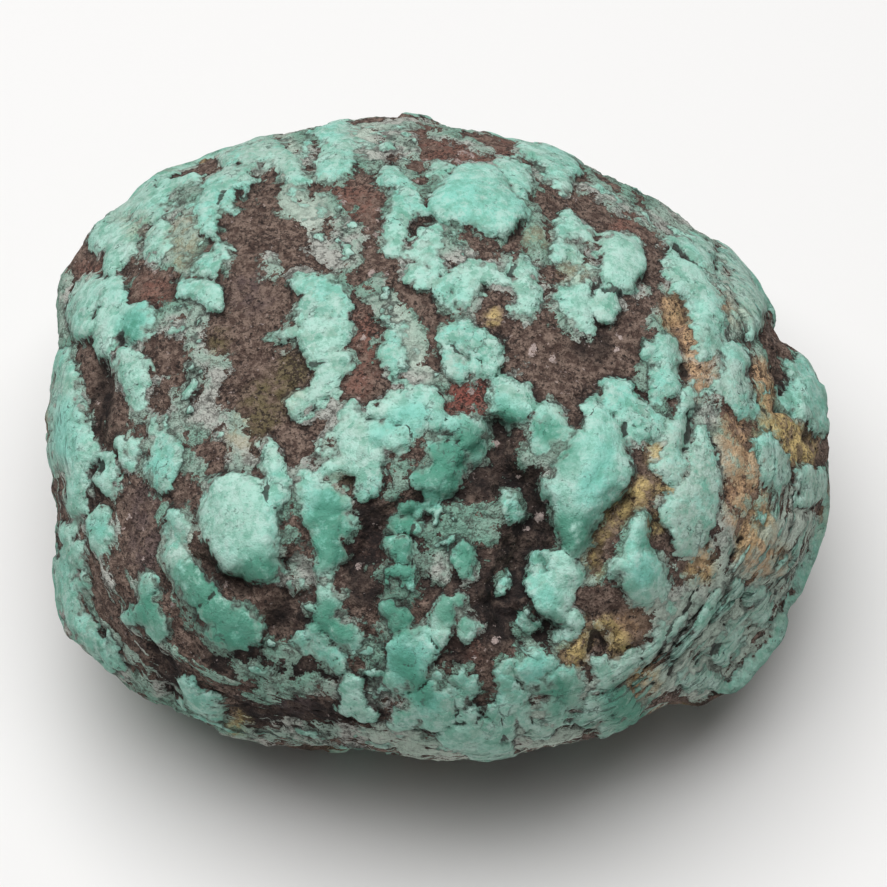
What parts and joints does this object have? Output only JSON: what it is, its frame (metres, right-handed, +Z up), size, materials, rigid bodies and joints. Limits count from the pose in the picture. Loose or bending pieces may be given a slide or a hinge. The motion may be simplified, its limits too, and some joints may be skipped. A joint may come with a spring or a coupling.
{
  "type": "raw turquoise nugget",
  "caption": "Loose, worn, rounded nugget of raw turquoise: raised blue-green lumps standing proud of brown mother rock, with a small flat underneath to rest on.",
  "frame": {"origin": "on the surface the stone rests on, under the middle of its bounding box", "axes": "+X along the stone's longest side, to the right of someone who looks at its best face; +Z up; the best face looks up and towards -Y"},
  "size_m": [0.0522, 0.0496, 0.0289],
  "materials": {
    "turquoise_in_rock": "matt, worn turquoise lumps in granular brown rock"
  },
  "bodies": {
    "root": {"turquoise_nugget": "turquoise_in_rock"}
  },
  "joints": []
}
